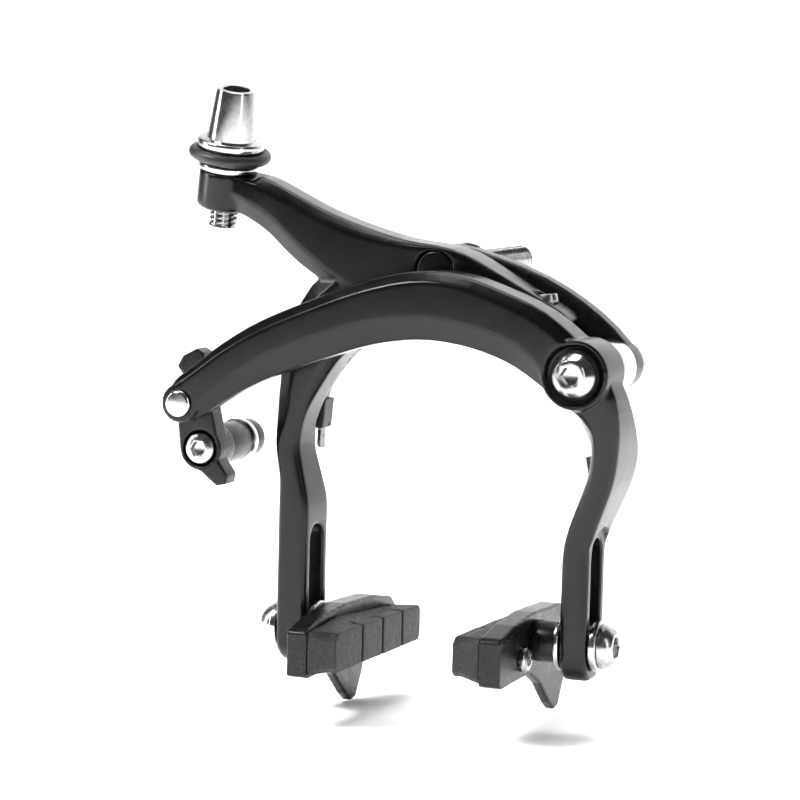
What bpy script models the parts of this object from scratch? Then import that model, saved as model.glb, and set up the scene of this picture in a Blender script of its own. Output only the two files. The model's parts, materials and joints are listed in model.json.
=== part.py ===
"""Dual-pivot rim brake caliper, built as an assembly of separate named pieces.

The brake is seen from the front of the bicycle: +X is to the right, +Y runs back into the fork,
+Z is up. The origin is on the centre bolt's axis, at the plane that seats against the fork.
All lengths are millimetres while the pieces are modelled; the last step scales them to metres.
"""

import math

import bmesh
import bpy
from mathutils import Matrix, Vector

MM = 0.001
RUNNING_GAP = 0.05

# Places of the joints, as (x, y, z).
CENTRE_PIVOT = (0.0, -12.0, 0.0)
SIDE_PIVOT = (33.3, -12.0, -17.7)
QR_PIVOT = (-48.7, -27.0, -28.0)
ANCHOR_AXIS = (-47.3, -37.6)
ADJUSTER_BASE = Vector((-47.0, -13.4, 17.9))
ADJUSTER_AXIS = Vector((0.165, -0.165, 0.972)).normalized()

# The centring screw, from its head down to the C-arm's lug.
CENTRING_SCREW_HEAD = (21.6, -13.2, -3.9)
CENTRING_SCREW_AXIS = (0.1, 0.0, -1.0)

# Depth bands, from the front of the brake to the fork.
C_ARM_FRONT = -31.0
C_ARM_BACK = -19.8
Y_ARM_FRONT = -18.6
Y_ARM_BACK = -8.5
LEG_FRONT = -18.0
LEG_BACK = -6.6
BRACKET_FRONT = -7.6
BRACKET_BACK = -2.3

# Pad bolts and the slots that let them slide.
SLOT_TRAVEL = 18.0
SLOT_HALF_WIDTH = 3.1
PAD_BOLT_Y = -12.3
BOLT_RADIUS = 2.9

# The two slotted legs: inner and outer face in |x|, reach from the centre bolt down to the pad
# bolt, and the friction face in |x| with the brake open.
LEFT_LEG = (26.3, 32.7, 73.8, 13.5)
RIGHT_LEG = (27.5, 33.0, 72.0, 10.8)

# Pad shoe, measured from the pad bolt along Y, and its layers outwards from the friction face.
SHOE_FRONT = -20.2
SHOE_REAR = 26.0
INSERT_DEPTH = 5.7
SHOE_DEPTH = 10.1

# Stations of the lofted limbs: x, z, half width, front y, back y, edge chamfer, and the width of
# the broad bevel along the lower front edge.
C_ARM_STATIONS = (
    (-50.4, -28.9, 2.6, -30.0, -24.6, 1.0, 1.3),
    (-48.0, -27.3, 4.4, -30.8, -24.3, 1.4, 1.9),
    (-43.6, -24.2, 4.7, -31.0, -24.3, 1.6, 2.6),
    (-37.5, -20.0, 5.1, -31.0, -24.0, 1.8, 3.4),
    (-30.0, -15.9, 5.5, -31.0, -21.0, 2.0, 4.2),
    (-20.0, -11.9, 5.8, -31.0, -19.8, 2.0, 4.5),
    (-10.0, -8.4, 6.1, -31.0, -19.8, 2.0, 4.5),
    (0.0, -6.4, 6.6, -31.0, -19.8, 2.0, 4.5),
    (8.0, -6.6, 6.7, -31.0, -19.8, 2.0, 4.5),
    (16.0, -8.6, 6.3, -31.0, -19.8, 2.0, 4.5),
    (23.5, -11.6, 6.2, -31.0, -19.8, 2.0, 4.5),
    (30.4, -16.4, 5.8, -30.8, -19.8, 1.8, 3.2),
    (35.8, -21.7, 4.8, -30.0, -19.6, 1.6, 2.2),
    (38.0, -27.3, 3.3, -28.0, -15.5, 1.3, 1.6),
    (37.7, -32.5, 2.8, -25.4, -10.0, 1.1, 1.3),
    (36.3, -38.0, 2.7, -22.8, -7.6, 1.0, 1.3),
    (33.8, -43.6, 2.7, -20.2, LEG_BACK, 0.9, 1.1),
    (31.6, -48.6, 2.7, -18.6, LEG_BACK, 0.8, 0.8),
    (30.35, -53.4, 2.75, LEG_FRONT, LEG_BACK, 0.7, 0.7),
    (30.25, -60.0, 2.75, LEG_FRONT, LEG_BACK, 0.7, 0.7),
    (30.25, -73.0, 2.75, LEG_FRONT, LEG_BACK, 0.7, 0.7),
    (30.25, -76.8, 2.75, -17.0, -7.6, 0.7, 0.7),
    (30.25, -78.8, 2.6, -14.8, -9.8, 0.7, 0.7),
)
UPPER_ARM_STATIONS = (
    (-49.0, 14.2, 3.8, -16.8, -10.2, 1.6, 1.6),
    (-44.5, 14.0, 4.2, -17.8, -9.2, 1.8, 3.4),
    (-39.5, 12.6, 4.5, Y_ARM_FRONT, Y_ARM_BACK, 1.8, 3.4),
    (-34.0, 9.8, 4.9, Y_ARM_FRONT, Y_ARM_BACK, 1.8, 3.4),
    (-27.0, 5.3, 6.1, Y_ARM_FRONT, Y_ARM_BACK, 1.8, 3.4),
    (-18.0, 1.2, 7.0, Y_ARM_FRONT, Y_ARM_BACK, 1.6, 2.4),
    (-8.0, -1.6, 7.3, Y_ARM_FRONT, Y_ARM_BACK, 1.0, 1.0),
    (2.0, -2.8, 7.2, Y_ARM_FRONT, Y_ARM_BACK, 0.6, 0.6),
    (9.5, -4.4, 5.6, Y_ARM_FRONT, Y_ARM_BACK, 0.8, 0.8),
    (17.5, -6.4, 3.5, Y_ARM_FRONT, -9.0, 1.2, 1.2),
    (24.2, -9.2, 2.8, -18.0, -9.2, 1.0, 1.0),
    (26.4, -10.5, 2.0, -17.2, -9.8, 0.9, 0.9),
)
LEFT_LEG_STATIONS = (
    (-2.0, -2.6, 4.5, -17.8, -9.0, 1.6, 1.6),
    (-10.0, -6.0, 7.0, -18.4, -8.7, 1.8, 3.4),
    (-19.4, -7.8, 7.8, -18.4, -8.7, 1.8, 3.4),
    (-25.4, -14.6, 6.6, -18.4, -8.7, 1.8, 3.4),
    (-28.7, -22.6, 4.8, -18.3, -8.6, 1.6, 3.4),
    (-30.6, -29.6, 3.3, -18.2, -8.5, 1.2, 3.4),
    (-31.1, -36.5, 2.6, LEG_FRONT, -8.2, 0.9, 0.9),
    (-30.1, -43.0, 2.7, LEG_FRONT, -7.2, 0.8, 0.8),
    (-29.5, -48.5, 3.2, LEG_FRONT, LEG_BACK, 0.7, 0.7),
    (-29.5, -56.0, 3.2, LEG_FRONT, LEG_BACK, 0.7, 0.7),
    (-29.5, -74.6, 3.2, LEG_FRONT, LEG_BACK, 0.7, 0.7),
    (-29.5, -78.3, 3.2, -17.0, -7.6, 0.7, 0.7),
    (-29.5, -80.3, 3.0, -14.8, -9.8, 0.7, 0.7),
)
BRACKET_STATIONS = (
    (-6.2, -1.4, 3.2, BRACKET_FRONT, BRACKET_BACK, 0.5, 0.5),
    (-4.6, -1.2, 5.2, BRACKET_FRONT, BRACKET_BACK, 0.5, 0.5),
    (0.0, -1.2, 5.7, BRACKET_FRONT, BRACKET_BACK, 0.5, 0.5),
    (8.0, -2.1, 4.6, BRACKET_FRONT, BRACKET_BACK, 0.6, 0.6),
    (17.0, -4.8, 4.1, BRACKET_FRONT, BRACKET_BACK, 0.8, 0.8),
    (24.3, -8.8, 4.1, BRACKET_FRONT, BRACKET_BACK, 0.8, 0.8),
    (29.9, -13.4, 4.4, BRACKET_FRONT, BRACKET_BACK, 0.8, 0.8),
    (33.0, -17.7, 4.8, BRACKET_FRONT, BRACKET_BACK, 0.8, 0.8),
    (34.8, -20.6, 3.4, BRACKET_FRONT, BRACKET_BACK, 0.6, 0.6),
)

# Centre line of the return spring's wire.
SPRING_RADIUS = 0.9
SPRING_PATH = (
    (-29.0, -5.2, -38.0), (-28.7, -5.2, -31.0), (-27.2, -5.0, -24.5), (-20.5, -4.9, -16.4),
    (-11.0, -4.9, -11.4), (0.0, -4.9, -10.2), (10.0, -4.9, -12.0), (18.5, -4.9, -17.6),
    (24.6, -4.8, -24.6), (29.6, -4.6, -34.0), (31.4, -4.6, -42.5),
)

MATERIALS = {
    "arm_black": ((0.02, 0.02, 0.022), 0.85, 0.34),
    "polished_steel": ((0.78, 0.78, 0.8), 1.0, 0.18),
    "black_plastic": ((0.015, 0.015, 0.016), 0.0, 0.4),
    "black_alloy": ((0.03, 0.03, 0.032), 0.8, 0.3),
    "rubber": ((0.05, 0.05, 0.052), 0.0, 0.75),
    "bronze": ((0.55, 0.36, 0.16), 1.0, 0.35),
    "spring_steel": ((0.6, 0.6, 0.62), 1.0, 0.25),
}


def clear_scene():
    for item in list(bpy.data.objects):
        bpy.data.objects.remove(item, do_unlink=True)


def new_material(name, colour, metallic, roughness):
    material = bpy.data.materials.new(name)
    material.use_nodes = True
    shader = material.node_tree.nodes["Principled BSDF"]
    shader.inputs["Base Color"].default_value = (*colour, 1.0)
    shader.inputs["Metallic"].default_value = metallic
    shader.inputs["Roughness"].default_value = roughness
    return material


def new_object(name, mesh_builder, kind, origin=(0.0, 0.0, 0.0)):
    """Turn a bmesh into an object whose origin is at `origin`, still in millimetres."""
    bmesh.ops.remove_doubles(mesh_builder, verts=mesh_builder.verts, dist=0.0005)
    bmesh.ops.recalc_face_normals(mesh_builder, faces=mesh_builder.faces)
    mesh = bpy.data.meshes.new(name)
    mesh_builder.to_mesh(mesh)
    mesh_builder.free()
    mesh.transform(Matrix.Translation(-Vector(origin)))
    piece = bpy.data.objects.new(name, mesh)
    piece.location = origin
    bpy.context.collection.objects.link(piece)
    look = MATERIALS[kind]
    mesh.materials.append(new_material(name + "_finish", *look))
    return piece


def axis_frame(axis):
    """Two unit vectors square to the axis and to each other."""
    along = Vector(axis).normalized()
    helper = Vector((0.0, 0.0, 1.0)) if abs(along.z) < 0.9 else Vector((1.0, 0.0, 0.0))
    side = along.cross(helper).normalized()
    return along, side, along.cross(side)


def turned(profile, start, axis, sides=24):
    """Turn a profile of (distance along the axis, radius) pairs; radius 0 closes on the axis."""
    along, side, other = axis_frame(axis)
    builder = bmesh.new()
    rings = []
    for distance, radius in profile:
        middle = Vector(start) + along * distance
        if radius == 0.0:
            rings.append([builder.verts.new(middle)])
            continue
        ring = []
        for step in range(sides):
            angle = 2.0 * math.pi * step / sides
            out = side * math.cos(angle) + other * math.sin(angle)
            ring.append(builder.verts.new(middle + out * radius))
        rings.append(ring)
    hollow = len(rings[0]) > 1
    pairs = list(zip(rings, rings[1:]))
    if hollow:
        pairs.append((rings[-1], rings[0]))
    for first, second in pairs:
        for step in range(sides):
            following = (step + 1) % sides
            if len(first) == 1:
                builder.faces.new((first[0], second[step], second[following]))
            elif len(second) == 1:
                builder.faces.new((first[step], second[0], first[following]))
            else:
                builder.faces.new((first[step], second[step], second[following], first[following]))
    return builder


def solid_rod(from_y, to_y, radius, x, z, sides=24):
    """A plain cylinder along Y."""
    profile = ((0.0, 0.0), (0.0, radius), (to_y - from_y, radius), (to_y - from_y, 0.0))
    return turned(profile, (x, from_y, z), (0.0, 1.0, 0.0), sides)


def ring_along(start, axis, thickness, inner, outer, sides=24, bevel=0.0):
    """A washer or a sleeve along any axis."""
    profile = (
        (0.0, inner), (0.0, outer - bevel), (bevel, outer),
        (thickness - bevel, outer), (thickness, outer - bevel), (thickness, inner),
    )
    if bevel == 0.0:
        profile = ((0.0, inner), (0.0, outer), (thickness, outer), (thickness, inner))
    return turned(profile, start, axis, sides)


def hexagon_rod(start, axis, length, across_flats):
    """A six-sided rod, for nuts and for the sockets of hex keys."""
    radius = across_flats / math.sqrt(3.0)
    profile = ((0.0, 0.0), (0.0, radius), (length, radius), (length, 0.0))
    return turned(profile, start, axis, 6)


def smooth_stations(stations, steps):
    """Pass a Catmull-Rom curve through the stations."""
    padded = [stations[0]] + list(stations) + [stations[-1]]
    result = []
    for index in range(1, len(padded) - 2):
        before, start, end, after = padded[index - 1:index + 3]
        for step in range(steps):
            t = step / steps
            blended = []
            for a, b, c, d in zip(before, start, end, after):
                cubic = (3.0 * b - a - 3.0 * c + d) * t ** 3
                square = (2.0 * a - 5.0 * b + 4.0 * c - d) * t ** 2
                blended.append(0.5 * (2.0 * b + (c - a) * t + square + cubic))
            result.append(blended)
    result.append(list(stations[-1]))
    return result


def limb(stations, steps=3):
    """Loft a bar with chamfered edges along a centre line that lies in the XZ plane."""
    points = smooth_stations(stations, steps)
    builder = bmesh.new()
    rings = []
    for index, (x, z, half, front, back, chamfer, bevel) in enumerate(points):
        last = points[min(index + 1, len(points) - 1)]
        first = points[max(index - 1, 0)]
        along = Vector((last[0] - first[0], 0.0, last[1] - first[1])).normalized()
        across = Vector((-along.z, 0.0, along.x))
        cut = min(chamfer, half * 0.9, (back - front) * 0.4)
        low_cut = min(bevel, half)
        low_depth = cut + 0.35 * (low_cut - cut)
        corners = (
            (-half + low_cut, front), (half - cut, front), (half, front + cut), (half, back - cut),
            (half - cut, back), (-half + cut, back), (-half, back - cut), (-half, front + low_depth),
        )
        middle = Vector((x, 0.0, z))
        rings.append([builder.verts.new(middle + across * a + Vector((0.0, y, 0.0))) for a, y in corners])
    for first, second in zip(rings, rings[1:]):
        for step in range(8):
            following = (step + 1) % 8
            builder.faces.new((first[step], first[following], second[following], second[step]))
    builder.faces.new(rings[0])
    builder.faces.new(reversed(rings[-1]))
    bmesh.ops.triangulate(builder, faces=builder.faces)
    return builder


def plate(outline, low, high, plane="XZ"):
    """Extrude a flat outline between two heights along the plane's normal."""
    builder = bmesh.new()

    def place(a, b, height):
        if plane == "XZ":
            return (a, height, b)
        return (height, a, b)

    bottom = [builder.verts.new(place(a, b, low)) for a, b in outline]
    top = [builder.verts.new(place(a, b, high)) for a, b in outline]
    count = len(outline)
    for step in range(count):
        following = (step + 1) % count
        builder.faces.new((bottom[step], bottom[following], top[following], top[step]))
    builder.faces.new(bottom)
    builder.faces.new(reversed(top))
    return builder


def swept_wire(path, radius, sides=8, steps=3):
    """Sweep a round wire along a smooth path."""
    points = [Vector(point) for point in smooth_stations(path, steps)]
    builder = bmesh.new()
    rings = []
    for index, middle in enumerate(points):
        along = (points[min(index + 1, len(points) - 1)] - points[max(index - 1, 0)]).normalized()
        side = Vector((0.0, 1.0, 0.0))
        side = (side - along * side.dot(along)).normalized()
        other = along.cross(side)
        ring = []
        for step in range(sides):
            angle = 2.0 * math.pi * step / sides
            out = side * math.cos(angle) + other * math.sin(angle)
            ring.append(builder.verts.new(middle + out * radius))
        rings.append(ring)
    for first, second in zip(rings, rings[1:]):
        for step in range(sides):
            following = (step + 1) % sides
            builder.faces.new((first[step], first[following], second[following], second[step]))
    builder.faces.new(rings[0])
    builder.faces.new(reversed(rings[-1]))
    return builder


def combine(piece, builders, operation):
    """Add builders to a piece, or cut them from it, one after another."""
    for builder in builders:
        tool = new_object("tool", builder, "arm_black")
        tool.data.materials.clear()
        tool.hide_render = True
        tool.display_type = "WIRE"
        change = piece.modifiers.new("change", "BOOLEAN")
        change.operation = operation
        change.solver = "EXACT"
        change.use_self = operation == "UNION"
        change.object = tool
        bpy.context.view_layer.update()
        shape = piece.evaluated_get(bpy.context.evaluated_depsgraph_get())
        changed = bpy.data.meshes.new_from_object(shape)
        piece.modifiers.clear()
        piece.data = changed
        bpy.data.objects.remove(tool, do_unlink=True)


def set_origin(piece, origin):
    piece.data.transform(Matrix.Translation(piece.location - Vector(origin)))
    piece.location = origin


def scale_to_metres(piece):
    piece.data.transform(Matrix.Scale(MM, 4))
    piece.location = piece.location * MM


def shade_round(piece):
    piece.data.shade_smooth()
    piece.data.set_sharp_from_angle(angle=math.radians(32.0))


def slot_cutter(low_x, high_x, reach, half_width=SLOT_HALF_WIDTH):
    """A slot with round ends along a leg, cut along X."""
    low_z = -reach
    high_z = low_z + SLOT_TRAVEL
    outline = []
    for step in range(9):
        angle = math.pi * step / 8.0
        outline.append((PAD_BOLT_Y + half_width * math.cos(angle), high_z + half_width * math.sin(angle)))
    for step in range(9):
        angle = math.pi + math.pi * step / 8.0
        outline.append((PAD_BOLT_Y + half_width * math.cos(angle), low_z + half_width * math.sin(angle)))
    return plate(outline, low_x, high_x, "YZ")


def build_frame_side():
    """Pieces that stay fixed to the fork."""
    along_y = (0.0, 1.0, 0.0)
    bracket = new_object("pivot_bracket", limb(BRACKET_STATIONS, 2), "black_alloy")
    spring_tab = plate(((-3.2, -5.0), (3.2, -5.0), (2.6, -12.6), (-2.6, -12.6)), BRACKET_FRONT + 0.2,
                       BRACKET_BACK - 0.1)
    boss = solid_rod(BRACKET_FRONT - 0.2, BRACKET_BACK - 0.1, 4.9, SIDE_PIVOT[0], SIDE_PIVOT[2])
    combine(bracket, (spring_tab, boss), "UNION")
    spring_hole = turned(((0.0, 0.0), (0.0, 1.2), (12.0, 1.2), (12.0, 0.0)), (-6.0, -4.9, -10.2),
                         (1.0, 0.0, 0.0), 12)
    bolt_hole = solid_rod(-20.0, 20.0, BOLT_RADIUS + RUNNING_GAP, 0.0, 0.0)
    side_hole = solid_rod(-20.0, 20.0, 2.5 + RUNNING_GAP, SIDE_PIVOT[0], SIDE_PIVOT[2])
    combine(bracket, (spring_hole, bolt_hole, side_hole), "DIFFERENCE")

    bolt_profile = (
        (0.0, 0.0), (0.0, 3.2), (0.3, 3.5), (1.2, 3.5), (1.2, BOLT_RADIUS), (48.0, BOLT_RADIUS),
        (48.6, 2.3), (48.6, 0.0),
    )
    bolt = new_object("centre_bolt", turned(bolt_profile, (0.0, -17.6, 0.0), along_y, 32),
                      "polished_steel")
    combine(bolt, (hexagon_rod((0.0, -18.0, 0.0), along_y, 2.0, 4.0),), "DIFFERENCE")
    front_washer = ring_along((0.0, -16.35, 0.0), along_y, 0.35, BOLT_RADIUS + RUNNING_GAP, 3.6)
    new_object("centre_thrust_washer", front_washer, "bronze")
    rear_washer = ring_along((0.0, -8.2, 0.0), along_y, 0.5, BOLT_RADIUS + RUNNING_GAP, 4.3)
    new_object("rear_thrust_washer", rear_washer, "polished_steel")
    seat = ring_along((0.0, -2.2, 0.0), along_y, 2.2, BOLT_RADIUS + RUNNING_GAP, 5.0, 32, 0.3)
    new_object("seat_washer", seat, "polished_steel")

    x, z = SIDE_PIVOT[0], SIDE_PIVOT[2]
    head_profile = (
        (0.0, 0.0), (0.0, 3.0), (0.3, 3.3), (2.6, 4.6), (3.3, 4.9), (3.3, 2.5),
        (34.4, 2.5), (34.8, 2.1), (34.8, 0.0),
    )
    pivot = new_object("side_pivot_bolt", turned(head_profile, (x, -33.4, z), along_y, 32),
                       "polished_steel")
    combine(pivot, (hexagon_rod((x, -35.0, z), along_y, 4.0, 3.4),), "DIFFERENCE")
    head_washer = ring_along((x, -30.05, z), along_y, 0.4, 2.55, 4.4)
    new_object("side_pivot_washer", head_washer, "polished_steel")
    sleeve = ring_along((x, -19.3, z), along_y, 11.3, 2.55, 5.3, 24, 0.3)
    new_object("side_pivot_sleeve", sleeve, "polished_steel")
    nut = new_object("side_pivot_nut", hexagon_rod((x, -2.2, z), along_y, 2.8, 8.0), "polished_steel")
    combine(nut, (solid_rod(-5.0, 5.0, 2.55, x, z),), "DIFFERENCE")

    new_object("return_spring", swept_wire(SPRING_PATH, SPRING_RADIUS), "spring_steel")


def build_y_arm():
    """The arm on the centre bolt, with the adjuster's boss, the left leg and the right wing."""
    arm = new_object("y_arm", limb(UPPER_ARM_STATIONS), "arm_black")
    leg = limb(LEFT_LEG_STATIONS)
    boss_start = ADJUSTER_BASE - ADJUSTER_AXIS * 7.8
    boss = turned(((0.0, 0.0), (0.0, 5.2), (0.6, 5.8), (7.5, 5.8), (7.8, 5.5), (7.8, 0.0)), boss_start,
                  ADJUSTER_AXIS)
    combine(arm, (leg, boss), "UNION")
    thread_hole = turned(((0.0, 0.0), (0.0, 3.05), (30.0, 3.05), (30.0, 0.0)),
                         ADJUSTER_BASE - ADJUSTER_AXIS * 20.0, ADJUSTER_AXIS)
    seat_cut = turned(((0.0, 0.0), (0.0, 9.0), (20.0, 9.0), (20.0, 0.0)), ADJUSTER_BASE, ADJUSTER_AXIS,
                      32)
    bush_hole = solid_rod(-30.0, 0.0, 3.27, 0.0, 0.0)
    nut_hole = solid_rod(-30.0, -15.95, 3.7, 0.0, 0.0, 32)
    slot = slot_cutter(-40.0, -20.0, LEFT_LEG[2])
    screw_start = Vector(CENTRING_SCREW_HEAD)
    screw_axis = Vector(CENTRING_SCREW_AXIS).normalized()
    screw_hole = turned(((0.0, 0.0), (0.0, 1.3), (40.0, 1.3), (40.0, 0.0)),
                        screw_start - screw_axis * 9.0, screw_axis, 12)
    head_seat = turned(((0.0, 0.0), (0.0, 2.5), (10.8, 2.5), (10.8, 0.0)),
                       screw_start - screw_axis * 9.0, screw_axis, 16)
    combine(arm, (seat_cut, thread_hole, bush_hole, nut_hole, slot, screw_hole, head_seat), "DIFFERENCE")
    set_origin(arm, CENTRE_PIVOT)

    along_y = (0.0, 1.0, 0.0)
    bush = ring_along((0.0, -15.9, 0.0), along_y, 7.4, BOLT_RADIUS + RUNNING_GAP, 3.25)
    new_object("y_arm_bush", bush, "bronze", CENTRE_PIVOT)
    cap_profile = ((0.0, 0.0), (0.0, 3.4), (0.2, 3.65), (0.9, 3.65), (0.9, 0.0))
    cap = turned(cap_profile, (0.0, Y_ARM_FRONT + 0.02, 0.0), along_y, 32)
    new_object("centre_dust_cap", cap, "arm_black", CENTRE_PIVOT)
    screw_profile = ((0.0, 0.0), (0.0, 1.9), (1.6, 2.1), (1.6, 1.25), (8.2, 1.25), (8.9, 0.8), (8.9, 0.0))
    screw = turned(screw_profile, screw_start, screw_axis, 16)
    new_object("centring_screw", screw, "polished_steel", CENTRE_PIVOT)
    shoe = plate(((-31.2, -33.8), (-27.5, -33.8), (-26.9, -27.8), (-30.4, -27.8)), -8.0, -3.5)
    shoe_piece = new_object("left_spring_shoe", shoe, "black_plastic", CENTRE_PIVOT)
    wire_hole = turned(((0.0, 0.0), (0.0, 1.2), (30.0, 1.2), (30.0, 0.0)), (-29.34, -5.2, -46.0),
                       (0.043, 0.0, 1.0), 12)
    combine(shoe_piece, (wire_hole,), "DIFFERENCE")


def build_adjuster():
    """Barrel adjuster on the upper arm: a keyed ring, a rubber ring and the threaded barrel."""
    origin = ADJUSTER_BASE
    keyed = ring_along(origin + ADJUSTER_AXIS * 0.15, ADJUSTER_AXIS, 1.45, 3.05, 6.1, 32, 0.3)
    new_object("adjuster_detent_ring", keyed, "polished_steel", origin)
    tube = []
    for step in range(8):
        angle = 2.0 * math.pi * step / 8.0
        tube.append((3.3 + 1.15 * math.sin(angle), 7.15 + 1.15 * math.cos(angle)))
    new_object("adjuster_rubber_ring", turned(tube, origin, ADJUSTER_AXIS, 32), "rubber", origin)
    barrel_profile = (
        (-12.0, 1.2), (-12.0, 2.5), (-11.5, 3.0), (1.75, 3.0), (1.75, 5.8), (4.7, 5.8), (4.7, 6.6),
        (5.0, 6.8), (6.0, 6.8), (6.4, 6.4), (6.6, 4.8), (16.2, 3.85), (16.6, 3.6), (16.6, 2.7),
        (10.6, 2.7), (10.6, 1.2),
    )
    new_object("adjuster_barrel", turned(barrel_profile, origin, ADJUSTER_AXIS, 32), "polished_steel",
               origin)


def build_c_arm():
    """The front arm on the side pivot, with the cable end at left and the slotted leg at right."""
    arm = new_object("c_arm", limb(C_ARM_STATIONS), "arm_black")
    x, z = SIDE_PIVOT[0], SIDE_PIVOT[2]
    boss = solid_rod(-30.87, -19.68, 6.7, x, z, 32)
    lug = plate(((19.5, -16.4), (25.2, -17.8), (25.6, -13.6), (19.9, -13.1)), -20.5, -11.2)
    pin_boss = solid_rod(-30.93, -24.13, 3.9, QR_PIVOT[0], QR_PIVOT[2], 32)
    combine(arm, (boss, lug, pin_boss), "UNION")
    recess = solid_rod(-40.0, -29.6, 5.8, x, z, 32)
    bush_hole = solid_rod(-40.0, -10.0, 3.05, x, z)
    pin_hole = solid_rod(-40.0, -10.0, 2.05, QR_PIVOT[0], QR_PIVOT[2], 16)
    slot = slot_cutter(20.0, 40.0, RIGHT_LEG[2])
    washer_track = slot_cutter(RIGHT_LEG[1] + 0.05, 45.0, RIGHT_LEG[2], 5.4)
    sleeve_space = solid_rod(-19.5, 0.0, 5.8, x, z)
    combine(arm, (recess, bush_hole, pin_hole, slot, washer_track, sleeve_space), "DIFFERENCE")
    set_origin(arm, SIDE_PIVOT)

    along_y = (0.0, 1.0, 0.0)
    bush = ring_along((x, -29.5, z), along_y, 9.7, 2.5 + RUNNING_GAP, 3.02)
    new_object("c_arm_bush", bush, "bronze", SIDE_PIVOT)
    pin_profile = (
        (0.0, 0.0), (0.0, 2.2), (0.4, 2.65), (0.85, 2.65), (0.85, 2.0), (13.1, 2.0), (13.1, 2.9),
        (14.0, 2.7), (14.0, 0.0),
    )
    pin = turned(pin_profile, (QR_PIVOT[0], -31.85, QR_PIVOT[2]), along_y, 32)
    new_object("quick_release_pin", pin, "polished_steel", SIDE_PIVOT)
    shoe = plate(((29.2, -42.0), (34.2, -42.0), (34.8, -36.0), (28.0, -36.0)), -6.4, -2.7)
    shoe_piece = new_object("right_spring_shoe", shoe, "black_plastic", SIDE_PIVOT)
    wire_hole = turned(((0.0, 0.0), (0.0, 1.25), (24.0, 1.25), (24.0, 0.0)), (32.55, -4.6, -48.0),
                       (-0.212, 0.0, 1.0), 12)
    combine(shoe_piece, (wire_hole,), "DIFFERENCE")


def build_cable_anchor():
    """Quick-release lever on its pin, with the cable's pinch bolt."""
    along_y = (0.0, 1.0, 0.0)
    x, z = ANCHOR_AXIS
    outline = (
        (-52.6, -21.4), (-51.4, -19.2), (-48.4, -17.6), (-46.8, -18.4), (-46.4, -22.0), (-45.6, -26.0),
        (-44.6, -30.8), (-43.5, -35.6), (-43.4, -39.6), (-41.2, -42.6), (-41.6, -44.5), (-43.6, -44.9),
        (-47.6, -41.8), (-50.8, -40.0), (-51.8, -37.2), (-52.4, -31.4), (-52.5, -27.4), (-51.3, -22.9),
    )
    lever = new_object("quick_release_lever", plate(outline, -23.9, -19.2), "black_alloy")
    cup = solid_rod(-23.7, -16.8, 4.5, x, z, 24)
    combine(lever, (cup,), "UNION")
    pin_hole = solid_rod(-40.0, -10.0, 2.05, QR_PIVOT[0], QR_PIVOT[2], 16)
    bolt_hole = solid_rod(-40.0, -10.0, 2.55, x, z)
    head_hole = solid_rod(-40.0, -22.0, 3.7, x, z)
    combine(lever, (pin_hole, bolt_hole, head_hole), "DIFFERENCE")
    set_origin(lever, QR_PIVOT)

    bolt_profile = (
        (0.0, 0.0), (0.0, 2.0), (0.6, 3.0), (1.6, 3.4), (2.6, 3.4), (2.6, 2.5), (24.3, 2.5),
        (24.8, 2.1), (24.8, 0.0),
    )
    bolt = new_object("pinch_bolt", turned(bolt_profile, (x, -24.7, z), along_y), "polished_steel",
                      QR_PIVOT)
    combine(bolt, (hexagon_rod((x, -26.0, z), along_y, 2.8, 2.8),), "DIFFERENCE")
    barrel = ring_along((x, -16.6, z), along_y, 9.6, 2.55, 4.1, 24, 0.3)
    new_object("anchor_barrel", barrel, "black_alloy", QR_PIVOT)
    clamp = ring_along((x, -6.9, z), along_y, 1.6, 2.55, 4.5)
    new_object("cable_clamp_washer", clamp, "polished_steel", QR_PIVOT)
    nut = ring_along((x, -5.2, z), along_y, 4.4, 2.55, 4.0, 24, 0.4)
    new_object("pinch_nut", nut, "black_alloy", QR_PIVOT)


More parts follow.
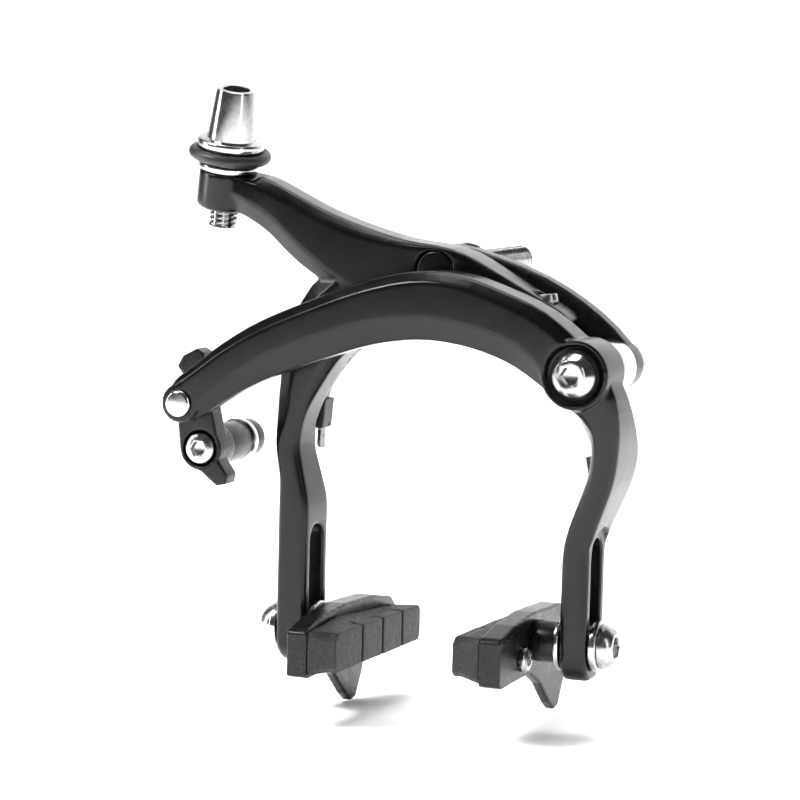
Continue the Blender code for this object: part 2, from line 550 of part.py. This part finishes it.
def build_pad(side, name, leg):
    """One pad assembly. `side` is -1 for the left leg and +1 for the right one."""
    inner, outer, reach, face = leg
    insert_back = face + INSERT_DEPTH
    shoe_back = face + SHOE_DEPTH
    origin = (side * inner, PAD_BOLT_Y, -reach)
    inward = (-side, 0.0, 0.0)

    def on_bolt(x):
        return (side * x, PAD_BOLT_Y, -reach)

    def across(low, high):
        return sorted((side * low, side * high))

    bolt_end = outer + 4.5 - (face + 8.0)
    head_profile = (
        (0.0, 0.0), (0.0, 2.9), (0.5, 3.4), (1.5, 4.1), (2.7, 4.5), (2.7, BOLT_RADIUS),
        (bolt_end, BOLT_RADIUS), (bolt_end, 0.0),
    )
    bolt = new_object(name + "_pad_bolt", turned(head_profile, on_bolt(outer + 4.5), inward),
                      "polished_steel", origin)
    combine(bolt, (hexagon_rod(on_bolt(outer + 5.5), inward, 3.0, 4.0),), "DIFFERENCE")
    loose = BOLT_RADIUS + RUNNING_GAP
    washer = ring_along(on_bolt(outer + 1.7), inward, 1.5, loose, 5.2, 24, 0.2)
    new_object(name + "_outer_washer", washer, "polished_steel", origin)
    cup = ring_along(on_bolt(inner - 0.2), inward, 1.2, loose, 5.6, 24, 0.3)
    new_object(name + "_cup_washer", cup, "polished_steel", origin)
    spacer_length = inner - 1.5 - (shoe_back + 0.1)
    spacer = ring_along(on_bolt(inner - 1.5), inward, spacer_length, loose, 4.1, 24, 0.2)
    new_object(name + "_pad_spacer", spacer, "black_alloy", origin)

    front = PAD_BOLT_Y + SHOE_FRONT
    rear = PAD_BOLT_Y + SHOE_REAR
    level = -reach - 1.7
    shoe_outline = (
        (front, level - 4.4), (front + 1.4, level - 4.9), (rear - 3.0, level - 4.2), (rear, level - 2.6),
        (rear, level + 3.2), (rear - 2.4, level + 5.2), (rear - 12.0, level + 6.9),
        (front + 19.0, level + 7.4),
        (front + 8.0, level + 6.4), (front + 0.8, level + 4.9), (front, level + 4.2),
    )
    low, high = across(insert_back + 0.1, shoe_back)
    shoe = new_object(name + "_pad_shoe", plate(shoe_outline, low, high, "YZ"), "black_alloy", origin)
    shift = -2.6 if side < 0 else 0.8
    fin_outline = (
        (-17.0 + shift, level - 4.0), (-10.0 + shift, level - 7.5), (-4.0 + shift, level - 12.5),
        (-1.0 + shift, level - 14.4), (1.5 + shift, level - 14.0), (4.5 + shift, level - 9.5),
        (6.5 + shift, level - 4.0),
    )
    low, high = across(shoe_back - 1.9, shoe_back + 0.1)
    combine(shoe, (plate(fin_outline, low, high, "YZ"),), "UNION")
    bolt_hole = turned(((0.0, 0.0), (0.0, loose), (4.0, loose), (4.0, 0.0)), on_bolt(shoe_back + 1.5),
                       inward)
    screw_y = PAD_BOLT_Y - 7.8
    screw_z = -reach - 2.6
    screw_hole = turned(((0.0, 0.0), (0.0, 1.3), (9.0, 1.3), (9.0, 0.0)),
                        (side * (shoe_back + 2.0), screw_y, screw_z),
                        inward, 12)
    combine(shoe, (bolt_hole, screw_hole), "DIFFERENCE")

    insert = bmesh.new()
    base = (
        (front + 0.3, -3.2), (front + 0.9, -4.2), (rear - 1.8, -3.4), (rear - 1.2, -2.6),
        (rear - 1.2, 2.8), (rear - 1.8, 3.4), (front + 15.0, 5.6), (front + 0.9, 4.6), (front + 0.3, 3.8),
    )
    block = (
        (front + 0.8, -2.2), (front + 1.9, -3.3), (rear - 1.6, -3.7), (rear - 0.6, -2.7),
        (rear - 0.6, 2.8), (rear - 1.6, 3.7), (front + 15.0, 4.3), (front + 2.4, 4.5), (front + 0.8, 3.1),
    )
    rings = []
    for x, corners in ((insert_back, base), (face + 1.6, block), (face, block)):
        rings.append([insert.verts.new((side * x, y, level + z)) for y, z in corners])
    for first, second in zip(rings, rings[1:]):
        for step in range(9):
            following = (step + 1) % 9
            insert.faces.new((first[step], first[following], second[following], second[step]))
    insert.faces.new(rings[0])
    insert.faces.new(reversed(rings[-1]))
    bmesh.ops.triangulate(insert, faces=insert.faces)
    pad = new_object(name + "_pad_insert", insert, "rubber", origin)
    grooves = []
    for number in (1, 2, 3):
        middle = front + (rear - front) * (number + 0.4) / 4.4
        outline = ((middle - 0.4, level - 8.0), (middle + 0.4, level - 8.0), (middle + 0.4, level + 8.0),
                   (middle - 0.4, level + 8.0))
        low, high = across(face - 2.0, face + 2.8)
        grooves.append(plate(outline, low, high, "YZ"))
    combine(pad, grooves, "DIFFERENCE")

    screw_profile = ((0.0, 0.0), (0.0, 2.0), (0.4, 2.4), (1.4, 2.4), (1.4, 1.25), (4.9, 1.25), (4.9, 0.0))
    screw_start = (side * (shoe_back + 1.5), screw_y, screw_z)
    screw = new_object(name + "_pad_screw", turned(screw_profile, screw_start, inward, 20),
                       "polished_steel", origin)
    key = hexagon_rod((side * (shoe_back + 3.0), screw_y, screw_z), inward, 2.3, 2.0)
    combine(screw, (key,), "DIFFERENCE")


def main():
    clear_scene()
    build_frame_side()
    build_y_arm()
    build_adjuster()
    build_c_arm()
    build_cable_anchor()
    build_pad(-1, "left", LEFT_LEG)
    build_pad(1, "right", RIGHT_LEG)
    for piece in bpy.data.objects:
        scale_to_metres(piece)
        shade_round(piece)


main()
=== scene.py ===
"""Visual model of a dual-pivot rim brake caliper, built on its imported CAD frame.

Most pieces are copies of their CAD solids that stand for them: softened copies for forged and
moulded parts, bevelled copies for hardware. The centre bolt, the adjuster's barrel and its rubber
ring are turned anew, the first two with helical threads. Every finish is a procedural material.
Lengths named *_MM are millimetres and all others are metres.
"""
import json
import math

import bmesh
import bpy
from mathutils import Matrix, Vector


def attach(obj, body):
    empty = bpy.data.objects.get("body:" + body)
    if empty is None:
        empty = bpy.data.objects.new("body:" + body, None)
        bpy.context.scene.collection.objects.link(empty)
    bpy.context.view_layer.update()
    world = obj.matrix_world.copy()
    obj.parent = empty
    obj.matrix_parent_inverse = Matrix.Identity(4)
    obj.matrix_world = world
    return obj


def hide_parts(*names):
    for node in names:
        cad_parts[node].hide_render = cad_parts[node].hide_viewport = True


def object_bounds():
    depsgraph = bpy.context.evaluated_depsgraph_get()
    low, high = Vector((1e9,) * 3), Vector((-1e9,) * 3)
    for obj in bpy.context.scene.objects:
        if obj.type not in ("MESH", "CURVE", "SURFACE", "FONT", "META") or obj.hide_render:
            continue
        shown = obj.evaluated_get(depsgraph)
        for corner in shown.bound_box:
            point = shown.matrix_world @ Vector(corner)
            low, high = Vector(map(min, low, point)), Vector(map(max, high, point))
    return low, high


MM = 0.001

# Forged, moulded or pressed pieces, each shown by a remeshed and smoothed copy of its CAD node:
# voxel size in millimetres, smoothing passes and finish.
SOFTENED = {
    "c_arm": (0.34, 9, "forged_black"),
    "y_arm": (0.34, 9, "forged_black"),
    "quick_release_lever": (0.22, 5, "black_alloy"),
    "left_pad_shoe": (0.26, 5, "holder_black"),
    "right_pad_shoe": (0.26, 5, "holder_black"),
    "left_pad_insert": (0.2, 5, "rubber"),
    "right_pad_insert": (0.2, 5, "rubber"),
    "left_spring_shoe": (0.2, 3, "black_plastic"),
    "right_spring_shoe": (0.2, 3, "black_plastic"),
    "pivot_bracket": (0.28, 4, "black_alloy"),
}
SPRING_VOXEL_MM = 0.2
SPRING_PASSES = 4
# Hardware, each shown by a copy of its CAD node with bevelled edges: bevel width in millimetres
# and finish.
BEVELLED = {
    "centre_dust_cap": (0.1, "forged_black"),
    "centre_thrust_washer": (0.06, "bronze"),
    "rear_thrust_washer": (0.1, "polished_steel"),
    "seat_washer": (0.12, "zinc_steel"),
    "side_pivot_bolt": (0.12, "polished_steel"),
    "side_pivot_washer": (0.08, "polished_steel"),
    "side_pivot_sleeve": (0.15, "polished_steel"),
    "side_pivot_nut": (0.25, "zinc_steel"),
    "y_arm_bush": (0.06, "bronze"),
    "c_arm_bush": (0.06, "bronze"),
    "centring_screw": (0.1, "zinc_steel"),
    "quick_release_pin": (0.12, "polished_steel"),
    "pinch_bolt": (0.14, "zinc_steel"),
    "anchor_barrel": (0.2, "black_alloy"),
    "cable_clamp_washer": (0.12, "polished_steel"),
    "pinch_nut": (0.2, "black_alloy"),
    "adjuster_detent_ring": (0.1, "polished_steel"),
    "left_pad_bolt": (0.14, "zinc_steel"),
    "left_outer_washer": (0.12, "polished_steel"),
    "left_cup_washer": (0.12, "polished_steel"),
    "left_pad_spacer": (0.12, "black_alloy"),
    "left_pad_screw": (0.08, "zinc_steel"),
    "right_pad_bolt": (0.14, "zinc_steel"),
    "right_outer_washer": (0.12, "polished_steel"),
    "right_cup_washer": (0.12, "polished_steel"),
    "right_pad_spacer": (0.12, "black_alloy"),
    "right_pad_screw": (0.08, "zinc_steel"),
}

ADJUSTER_BASE_MM = Vector((-47.0, -13.4, 17.9))
ADJUSTER_AXIS = Vector((0.165, -0.165, 0.972)).normalized()
THREAD_PITCH_MM = 1.0
THREAD_DEPTH_MM = 0.55
THREAD_ROWS_PER_TURN = 8
# A thread's flank is a triangle wave, stretched and lowered so that crest and root come out flat.
THREAD_WAVE_STRETCH = 1.15
THREAD_WAVE_DROP = 0.07

# Turned outlines, as (distance along the axis, radius) pairs in millimetres.
CENTRE_BOLT_START_MM = (0.0, -17.8, 0.0)
CENTRE_BOLT_THREAD_MM = (26.0, 48.0)
CENTRE_BOLT_OUTLINE_MM = (
    (0.0, 0.001), (0.0, 2.6), (0.3, 2.9), (26.0, 2.9), (48.0, 2.9), (48.6, 2.45), (48.8, 2.2),
    (48.8, 0.001),
)
ADJUSTER_THREAD_MM = (-11.5, 0.0)
ADJUSTER_OUTLINE_MM = (
    (-12.0, 1.2), (-12.0, 2.5), (-11.5, 3.0), (0.0, 3.0), (1.75, 3.0), (1.75, 5.8), (4.7, 5.8),
    (4.7, 6.5), (4.8, 6.68), (5.0, 6.78), (6.0, 6.78), (6.25, 6.66), (6.4, 6.4), (6.45, 5.2),
    (6.6, 4.9), (16.2, 3.95), (16.5, 3.85), (16.6, 3.65), (16.6, 2.85), (16.45, 2.7),
    (10.6, 2.7), (10.6, 1.2),
)
RUBBER_RING_HEIGHT_MM = 3.3
RUBBER_RING_RADIUS_MM = 7.15
RUBBER_RING_SECTION_RADIUS_MM = 1.15
RUBBER_RING_STEPS = 24

# Points closer than this are one point.
WELD_DISTANCE = 2e-6

# A noise's values mostly lie in this span, which is stretched over a finish's range.
NOISE_SPAN = (0.3, 0.7)
COLOUR_STOPS = (0.35, 0.68)
SHALLOW_SHINE = 0.27
RUBBER_SHINE = 0.4

CAMERA_TARGET_MM = Vector((-14.0, 0.0, -27.9))
CAMERA_DISTANCE_MM = 608.5
CAMERA_TURN_DEG = 22.0
CAMERA_RISE_DEG = 6.0
CAMERA_ROLL_DEG = 1.4
CAMERA_LENS_MM = 135.0
CAMERA_SENSOR_MM = 36.0

# The backdrop's floor starts in front of the brake and bends up into a wall behind it.
FLOOR_GAP = 0.0005
BACKDROP_REACH = 3.0
BEND_START = 0.6
BEND_RADIUS = 0.5
BEND_STEPS = 12

WORLD_STRENGTH = 0.05
LIGHTS_AIM = (-0.01, -0.01, -0.03)
# The lights on the brake: place, width and height, and power in watts.
BRAKE_LIGHTS = {
    "top_box": ((-0.1, 0.1, 0.8), (0.5, 0.35), 3.2),
    "key_light": ((-0.45, -0.4, 0.6), (0.3, 0.2), 6.0),
    "right_strip": ((0.6, -0.35, 0.15), (0.08, 0.6), 0.6),
    "left_strip": ((-0.7, -0.25, 0.1), (0.08, 0.6), 3.0),
}
BACKDROP_LIGHT_PLACE = (0.0, 0.2, 1.5)
BACKDROP_LIGHT_AIM = (0.0, 0.4, 0.0)
BACKDROP_LIGHT_SIZE = (2.4, 1.4)
BACKDROP_LIGHT_POWER = 33.0


# ---- materials -------------------------------------------------------------------------------

def add_node(material, kind, **settings):
    """Add a shader node and set its inputs, or its own properties, by name."""
    node = material.node_tree.nodes.new(kind)
    for name, value in settings.items():
        if name in node.inputs:
            node.inputs[name].default_value = value
        else:
            setattr(node, name, value)
    return node


def grain(material, scale, low, high):
    """A noise of the given scale whose middle values are spread from low to high."""
    links = material.node_tree.links
    place = add_node(material, "ShaderNodeTexCoord")
    noise = add_node(material, "ShaderNodeTexNoise", Scale=scale, Detail=6.0)
    spread = add_node(material, "ShaderNodeMapRange")
    spread.inputs["From Min"].default_value = NOISE_SPAN[0]
    spread.inputs["From Max"].default_value = NOISE_SPAN[1]
    spread.inputs["To Min"].default_value = low
    spread.inputs["To Max"].default_value = high
    links.new(place.outputs["Object"], noise.inputs["Vector"])
    links.new(noise.outputs["Fac"], spread.inputs["Value"])
    return spread.outputs["Result"]


def colour_grain(material, scale, dark, light):
    """A noise of the given scale that runs between two colours."""
    links = material.node_tree.links
    place = add_node(material, "ShaderNodeTexCoord")
    noise = add_node(material, "ShaderNodeTexNoise", Scale=scale, Detail=8.0)
    ramp = add_node(material, "ShaderNodeValToRGB")
    ramp.color_ramp.elements[0].position = COLOUR_STOPS[0]
    ramp.color_ramp.elements[0].color = (*dark, 1.0)
    ramp.color_ramp.elements[1].position = COLOUR_STOPS[1]
    ramp.color_ramp.elements[1].color = (*light, 1.0)
    links.new(place.outputs["Object"], noise.inputs["Vector"])
    links.new(noise.outputs["Fac"], ramp.inputs["Fac"])
    return ramp.outputs["Color"]


def new_finish(name, dark, light, metallic, roughness, bumps, scale=900.0):
    """A Principled material with grain in its colour, its roughness and its surface.

    roughness is (low, high) and bumps is a tuple of (noise scale, height in millimetres).
    """
    material = bpy.data.materials.new(name)
    material.use_nodes = True
    shader = material.node_tree.nodes["Principled BSDF"]
    links = material.node_tree.links
    shader.inputs["Metallic"].default_value = metallic
    links.new(colour_grain(material, scale, dark, light), shader.inputs["Base Color"])
    links.new(grain(material, scale * 0.4, *roughness), shader.inputs["Roughness"])
    normal = None
    for bump_scale, height in bumps:
        bump = add_node(material, "ShaderNodeBump", Strength=1.0, Distance=MM)
        links.new(grain(material, bump_scale, 0.0, height), bump.inputs["Height"])
        if normal:
            links.new(normal, bump.inputs["Normal"])
        normal = bump.outputs["Normal"]
    if normal:
        links.new(normal, shader.inputs["Normal"])
    return material


def make_finishes():
    finishes = {
        "forged_black": new_finish(
            "forged_black", (0.002, 0.002, 0.0024), (0.005, 0.005, 0.0055), 0.0, (0.2, 0.27),
            ((700.0, 0.003), (4000.0, 0.0012))),
        "black_alloy": new_finish(
            "black_alloy", (0.004, 0.004, 0.0045), (0.009, 0.009, 0.0095), 0.0, (0.24, 0.34),
            ((2500.0, 0.003),)),
        "holder_black": new_finish(
            "holder_black", (0.004, 0.004, 0.0045), (0.009, 0.009, 0.0095), 0.0, (0.24, 0.34),
            ((1500.0, 0.004), (5000.0, 0.002))),
        "black_plastic": new_finish(
            "black_plastic", (0.012, 0.012, 0.012), (0.022, 0.022, 0.022), 0.0, (0.4, 0.52),
            ((3000.0, 0.006),)),
        "polished_steel": new_finish(
            "polished_steel", (0.5, 0.5, 0.51), (0.64, 0.64, 0.65), 1.0, (0.14, 0.22),
            ((1200.0, 0.0012), (9000.0, 0.0006))),
        "zinc_steel": new_finish(
            "zinc_steel", (0.38, 0.38, 0.38), (0.54, 0.54, 0.53), 1.0, (0.2, 0.32),
            ((2200.0, 0.003),)),
        "spring_steel": new_finish(
            "spring_steel", (0.2, 0.2, 0.205), (0.34, 0.34, 0.345), 1.0, (0.22, 0.34),
            ((2600.0, 0.003),)),
        "bronze": new_finish(
            "bronze", (0.4, 0.24, 0.1), (0.6, 0.4, 0.18), 1.0, (0.28, 0.42),
            ((3000.0, 0.004),)),
        "rubber": new_finish(
            "rubber", (0.009, 0.009, 0.0095), (0.024, 0.024, 0.025), 0.0, (0.5, 0.66),
            ((2500.0, 0.02), (7000.0, 0.01)), 2200.0),
        "o_ring_rubber": new_finish(
            "o_ring_rubber", (0.01, 0.01, 0.01), (0.018, 0.018, 0.018), 0.0, (0.38, 0.5),
            ((3000.0, 0.006),)),
    }
    rubber = finishes["rubber"].node_tree.nodes["Principled BSDF"]
    rubber.inputs["Specular IOR Level"].default_value = RUBBER_SHINE
    for name in ("forged_black", "holder_black", "black_alloy"):
        shader = finishes[name].node_tree.nodes["Principled BSDF"]
        shader.inputs["Specular IOR Level"].default_value = SHALLOW_SHINE
    return finishes


# ---- pieces ----------------------------------------------------------------------------------

def paint(piece, material):
    piece.data.materials.clear()
    piece.data.materials.append(material)


def add_piece(name, mesh, material, node):
    """Link a mesh as a piece that stands for a CAD node and rides on that node's body."""
    piece = bpy.data.objects.new(name, mesh)
    bpy.context.scene.collection.objects.link(piece)
    paint(piece, material)
    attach(piece, node_body[node])
    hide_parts(node)
    return piece


def reworked(node, modifiers):
    """The mesh that these (type, settings) modifiers make of a copy of a CAD node."""
    source = bpy.data.objects.new(node + "_work", frame["nodes"][node].data.copy())
    bpy.context.scene.collection.objects.link(source)
    for kind, settings in modifiers:
        modifier = source.modifiers.new(kind.lower(), kind)
        for name, value in settings.items():
            setattr(modifier, name, value)
    bpy.context.view_layer.update()
    shape = source.evaluated_get(bpy.context.evaluated_depsgraph_get())
    mesh = bpy.data.meshes.new_from_object(shape)
    bpy.data.objects.remove(source, do_unlink=True)
    return mesh


def softened_copy(node, voxel_mm, passes, material):
    """Stand for a CAD node with a copy whose edges are rounded like a forging or moulding."""
    mesh = reworked(node, (
        ("WELD", {"merge_threshold": WELD_DISTANCE}),
        ("REMESH", {"mode": "VOXEL", "voxel_size": voxel_mm * MM}),
        ("SMOOTH", {"factor": 0.5, "iterations": passes}),
        ("DECIMATE", {"ratio": 0.3}),
    ))
    mesh.shade_smooth()
    return add_piece(node + "_forged", mesh, material, node)


def bevelled_copy(node, bevel_mm, material):
    """Stand for a CAD node with a copy whose sharp edges are broken."""
    mesh = reworked(node, (
        ("WELD", {"merge_threshold": WELD_DISTANCE}),
        ("DECIMATE", {"decimate_type": "DISSOLVE", "angle_limit": math.radians(0.6)}),
        ("BEVEL", {"width": bevel_mm * MM, "segments": 2, "limit_method": "ANGLE",
                   "angle_limit": math.radians(32.0), "harden_normals": False}),
    ))
    mesh.shade_smooth()
    mesh.set_sharp_from_angle(angle=math.radians(50.0))
    return add_piece(node + "_detail", mesh, material, node)


def axis_frame(axis):
    """Two unit vectors square to the axis and to each other."""
    along = Vector(axis).normalized()
    helper = Vector((0.0, 0.0, 1.0)) if abs(along.z) < 0.9 else Vector((1.0, 0.0, 0.0))
    side = along.cross(helper).normalized()
    return along, side, along.cross(side)


def turned_mesh(name, profile, start_mm, axis, sides, threads=()):
    """Turn a closed profile of (distance, radius) pairs; threads are (low, high) spans.

    Each thread lies within one straight stretch of the profile. Its rows carry their radius with
    a minus sign, which marks them for the helical cut.
    """
    along, side, other = axis_frame(axis)
    builder = bmesh.new()
    rows = []
    for (low, low_radius), (high, high_radius) in zip(profile, profile[1:]):
        rows.append((low, low_radius))
        for thread_low, thread_high in threads:
            if low_radius != high_radius or not (low <= thread_low and high >= thread_high):
                continue
            length = thread_high - thread_low
            count = int(length / THREAD_PITCH_MM * THREAD_ROWS_PER_TURN)
            for step in range(count + 1):
                rows.append((thread_low + length * step / count, -low_radius))
    rows.append(profile[-1])
    rings = []
    for distance, radius in rows:
        ring = []
        for step in range(sides):
            turn = step / sides
            size = abs(radius)
            if radius < 0.0:
                wave = abs(((distance / THREAD_PITCH_MM - turn) % 1.0) * 2.0 - 1.0)
                cut = THREAD_WAVE_STRETCH * wave - THREAD_WAVE_DROP
                size -= THREAD_DEPTH_MM * min(1.0, max(0.0, cut))
            angle = 2.0 * math.pi * turn
            out = side * math.cos(angle) + other * math.sin(angle)
            ring.append(builder.verts.new((Vector(start_mm) + along * distance + out * size) * MM))
        rings.append(ring)
    pairs = list(zip(rings, rings[1:])) + [(rings[-1], rings[0])]
    for first, second in pairs:
        for step in range(sides):
            following = (step + 1) % sides
            builder.faces.new((first[step], first[following], second[following], second[step]))
    bmesh.ops.remove_doubles(builder, verts=builder.verts, dist=WELD_DISTANCE)
    bmesh.ops.recalc_face_normals(builder, faces=builder.faces)
    mesh = bpy.data.meshes.new(name)
    builder.to_mesh(mesh)
    builder.free()
    mesh.shade_smooth()
    mesh.set_sharp_from_angle(angle=math.radians(40.0))
    return mesh


def build_centre_bolt():
    """M6 centre bolt with its thread behind the bracket."""
    mesh = turned_mesh("centre_bolt_detail", CENTRE_BOLT_OUTLINE_MM, CENTRE_BOLT_START_MM,
                       (0.0, 1.0, 0.0), 48, (CENTRE_BOLT_THREAD_MM,))
    add_piece("centre_bolt_detail", mesh, finishes["zinc_steel"], "centre_bolt")


def build_adjuster():
    """Barrel adjuster with its cone, collar and thread, and the rubber ring below it."""
    mesh = turned_mesh("adjuster_barrel_detail", ADJUSTER_OUTLINE_MM, ADJUSTER_BASE_MM,
                       ADJUSTER_AXIS, 64, (ADJUSTER_THREAD_MM,))
    add_piece("adjuster_barrel_detail", mesh, finishes["polished_steel"], "adjuster_barrel")
    ring = []
    for step in range(RUBBER_RING_STEPS):
        angle = 2.0 * math.pi * step / RUBBER_RING_STEPS
        ring.append((RUBBER_RING_HEIGHT_MM + RUBBER_RING_SECTION_RADIUS_MM * math.sin(angle),
                     RUBBER_RING_RADIUS_MM + RUBBER_RING_SECTION_RADIUS_MM * math.cos(angle)))
    mesh = turned_mesh("adjuster_rubber_ring_detail", ring, ADJUSTER_BASE_MM, ADJUSTER_AXIS, 72)
    add_piece("adjuster_rubber_ring_detail", mesh, finishes["o_ring_rubber"], "adjuster_rubber_ring")


# ---- stage -----------------------------------------------------------------------------------

def build_camera():
    """A long lens to the right of the brake's front, a little above it and slightly rolled."""
    turn = math.radians(CAMERA_TURN_DEG)
    rise = math.radians(CAMERA_RISE_DEG)
    roll = math.radians(CAMERA_ROLL_DEG)
    flat = math.cos(rise)
    view = Vector((-math.sin(turn) * flat, math.cos(turn) * flat, -math.sin(rise)))
    right = Vector((math.cos(turn), math.sin(turn), 0.0))
    up = right.cross(view)
    rolled_right = right * math.cos(roll) + up * math.sin(roll)
    rolled_up = up * math.cos(roll) - right * math.sin(roll)
    spot = (CAMERA_TARGET_MM - view * CAMERA_DISTANCE_MM) * MM
    data = bpy.data.cameras.new("camera")
    data.lens = CAMERA_LENS_MM
    data.sensor_width = CAMERA_SENSOR_MM
    data.clip_start = 0.01
    camera = bpy.data.objects.new("camera", data)
    bpy.context.scene.collection.objects.link(camera)
    basis = Matrix((rolled_right, rolled_up, -view)).transposed().to_4x4()
    camera.matrix_world = Matrix.Translation(spot) @ basis
    bpy.context.scene.camera = camera


def add_light(name, spot, aim, size, power):
    """Add a rectangular light that faces a point; size is its width and height."""
    data = bpy.data.lights.new(name, "AREA")
    data.shape = "RECTANGLE"
    data.size = size[0]
    data.size_y = size[1]
    data.energy = power
    light = bpy.data.objects.new(name, data)
    bpy.context.scene.collection.objects.link(light)
    light.location = spot
    light.rotation_euler = (Vector(aim) - Vector(spot)).to_track_quat("-Z", "Y").to_euler()
    return light


def build_backdrop():
    """One white sheet: a floor that curves up into a wall behind the brake."""
    floor_z = cad_box[0].z - FLOOR_GAP
    profile = [(-BACKDROP_REACH, floor_z), (BEND_START, floor_z)]
    for step in range(1, BEND_STEPS + 1):
        angle = math.pi / 2.0 * step / BEND_STEPS
        profile.append((BEND_START + BEND_RADIUS * math.sin(angle),
                        floor_z + BEND_RADIUS * (1.0 - math.cos(angle))))
    profile.append((BEND_START + BEND_RADIUS, floor_z + BACKDROP_REACH))
    vertices = []
    for y, z in profile:
        vertices.append((-BACKDROP_REACH, y, z))
        vertices.append((BACKDROP_REACH, y, z))
    faces = [(2 * row, 2 * row + 1, 2 * row + 3, 2 * row + 2) for row in range(len(profile) - 1)]
    mesh = bpy.data.meshes.new("backdrop")
    mesh.from_pydata(vertices, [], faces)
    mesh.shade_smooth()
    backdrop = bpy.data.objects.new("backdrop", mesh)
    bpy.context.scene.collection.objects.link(backdrop)
    material = bpy.data.materials.new("backdrop_white")
    material.use_nodes = True
    shader = material.node_tree.nodes["Principled BSDF"]
    shader.inputs["Base Color"].default_value = (0.97, 0.97, 0.97, 1.0)
    shader.inputs["Roughness"].default_value = 1.0
    shader.inputs["Specular IOR Level"].default_value = 0.0
    paint(backdrop, material)
    return backdrop


def build_lights(backdrop):
    """A dim surround, one large box that lights only the backdrop, and soft boxes for the brake."""
    world = bpy.data.worlds.new("studio")
    world.use_nodes = True
    background = world.node_tree.nodes["Background"]
    background.inputs["Color"].default_value = (1.0, 1.0, 1.0, 1.0)
    background.inputs["Strength"].default_value = WORLD_STRENGTH
    bpy.context.scene.world = world
    overhead = add_light("backdrop_light", BACKDROP_LIGHT_PLACE, BACKDROP_LIGHT_AIM,
                         BACKDROP_LIGHT_SIZE, BACKDROP_LIGHT_POWER)
    lit = bpy.data.collections.new("lit_by_backdrop_light")
    lit.objects.link(backdrop)
    overhead.light_linking.receiver_collection = lit
    for name, (spot, size, power) in BRAKE_LIGHTS.items():
        add_light(name, spot, LIGHTS_AIM, size, power)
    bpy.context.scene.view_settings.view_transform = "Standard"


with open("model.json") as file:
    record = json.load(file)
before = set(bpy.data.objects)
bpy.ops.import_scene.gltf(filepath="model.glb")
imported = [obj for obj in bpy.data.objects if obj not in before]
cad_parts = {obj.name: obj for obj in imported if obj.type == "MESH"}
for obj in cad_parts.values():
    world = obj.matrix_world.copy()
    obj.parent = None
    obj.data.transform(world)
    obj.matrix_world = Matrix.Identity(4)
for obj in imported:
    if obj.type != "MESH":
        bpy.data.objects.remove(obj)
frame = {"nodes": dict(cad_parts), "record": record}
cad_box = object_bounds()
node_body = {}
for body, nodes in frame["record"]["behaviour"]["bodies"].items():
    for node in nodes:
        node_body[node] = body
finishes = make_finishes()

for node, (voxel_mm, passes, finish) in SOFTENED.items():
    softened_copy(node, voxel_mm, passes, finishes[finish])
for node, (bevel_mm, finish) in BEVELLED.items():
    bevelled_copy(node, bevel_mm, finishes[finish])
build_centre_bolt()
build_adjuster()
softened_copy("return_spring", SPRING_VOXEL_MM, SPRING_PASSES, finishes["spring_steel"])

build_lights(build_backdrop())
build_camera()
